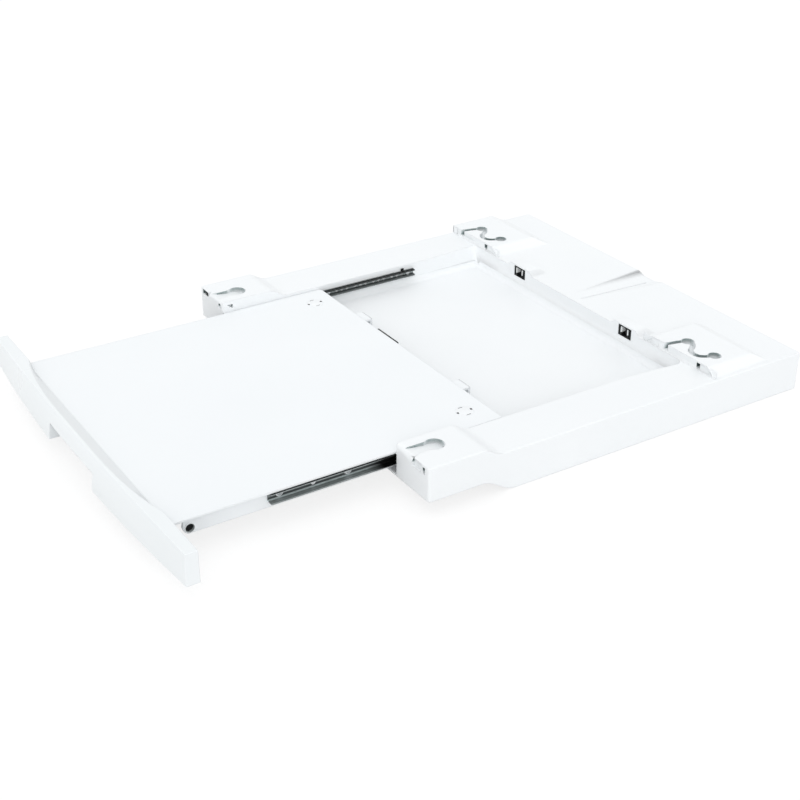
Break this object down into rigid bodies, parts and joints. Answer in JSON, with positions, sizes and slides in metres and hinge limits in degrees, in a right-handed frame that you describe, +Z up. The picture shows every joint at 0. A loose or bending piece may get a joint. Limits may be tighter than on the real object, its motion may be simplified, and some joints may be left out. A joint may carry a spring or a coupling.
{
  "type": "washer dryer stacking kit",
  "caption": "Moulded tray that seats a tumble dryer on top of a washing machine, with a flat pull-out shelf on ball-bearing slides between the two.",
  "frame": {"origin": "middle of the base tray in plan, on the flat underside that rests on the washer's top", "axes": "+Z up, +X to the right for someone standing at the front, -Y out of the front, where the shelf is drawn out; the shelf closes along +Y"},
  "size_m": [0.6, 0.908, 0.065],
  "materials": {
    "tray_plastic": "fine matt texture, white",
    "shelf_plastic": "fine matt texture, white",
    "fascia_plastic": "satin white",
    "cap_plastic": "matt white",
    "rail_steel": "grey zinc-plated steel, lightly oiled",
    "cage_steel": "bright steel strip with hardened balls",
    "screw_steel": "bright zinc-plated steel",
    "pole_steel": "zinc-plated steel strip",
    "strike_steel": "zinc-plated steel sheet",
    "clip_plastic": "black",
    "catch_plastic": "black",
    "magnet_ferrite": "dark grey ferrite",
    "plug_rubber": "black"
  },
  "bodies": {
    "base": {"base_tray": "tray_plastic", "fixed_rail_right": "rail_steel", "fixed_rail_left": "rail_steel", "rail_clip_right": "clip_plastic", "rail_clip_left": "clip_plastic", "fixed_rail_screw_right_1": "screw_steel", "fixed_rail_screw_right_2": "screw_steel", "fixed_rail_screw_right_3": "screw_steel", "fixed_rail_screw_left_1": "screw_steel", "fixed_rail_screw_left_2": "screw_steel", "fixed_rail_screw_left_3": "screw_steel", "catch_body_right": "catch_plastic", "catch_body_left": "catch_plastic", "catch_magnet_right": "magnet_ferrite", "catch_magnet_left": "magnet_ferrite", "pole_plate_outer_right": "pole_steel", "pole_plate_outer_left": "pole_steel", "pole_plate_inner_right": "pole_steel", "pole_plate_inner_left": "pole_steel"},
    "shelf": {"shelf_panel": "shelf_plastic", "shelf_fascia": "fascia_plastic", "shelf_rail_right": "rail_steel", "shelf_rail_left": "rail_steel", "shelf_rail_screw_right_1": "screw_steel", "shelf_rail_screw_right_2": "screw_steel", "shelf_rail_screw_right_3": "screw_steel", "shelf_rail_screw_left_1": "screw_steel", "shelf_rail_screw_left_2": "screw_steel", "shelf_rail_screw_left_3": "screw_steel", "snap_cap_right": "cap_plastic", "snap_cap_left": "cap_plastic", "bumper_plug_right": "plug_rubber", "bumper_plug_left": "plug_rubber", "strike_plate_right": "strike_steel", "strike_plate_left": "strike_steel", "strike_rivet_right": "screw_steel", "strike_rivet_left": "screw_steel", "fascia_screw_1": "screw_steel", "fascia_screw_2": "screw_steel", "fascia_screw_3": "screw_steel", "fascia_screw_4": "screw_steel"},
    "cage_right": {"ball_cage_right": "cage_steel"},
    "cage_left": {"ball_cage_left": "cage_steel"}
  },
  "joints": [
    {"name": "shelf_slide", "type": "slide", "parent": "base", "child": "shelf", "axis": [0, 1, 0], "range_m": [0, 0.265]},
    {"name": "cage_right_slide", "type": "slide", "parent": "base", "child": "cage_right", "axis": [0, 1, 0], "range_m": [0, 0.1325]},
    {"name": "cage_left_slide", "type": "slide", "parent": "base", "child": "cage_left", "axis": [0, 1, 0], "range_m": [0, 0.1325]}
  ],
  "couplings": [
    {"joint": "cage_right_slide", "follows": "shelf_slide", "ratio": 0.5},
    {"joint": "cage_left_slide", "follows": "shelf_slide", "ratio": 0.5}
  ]
}
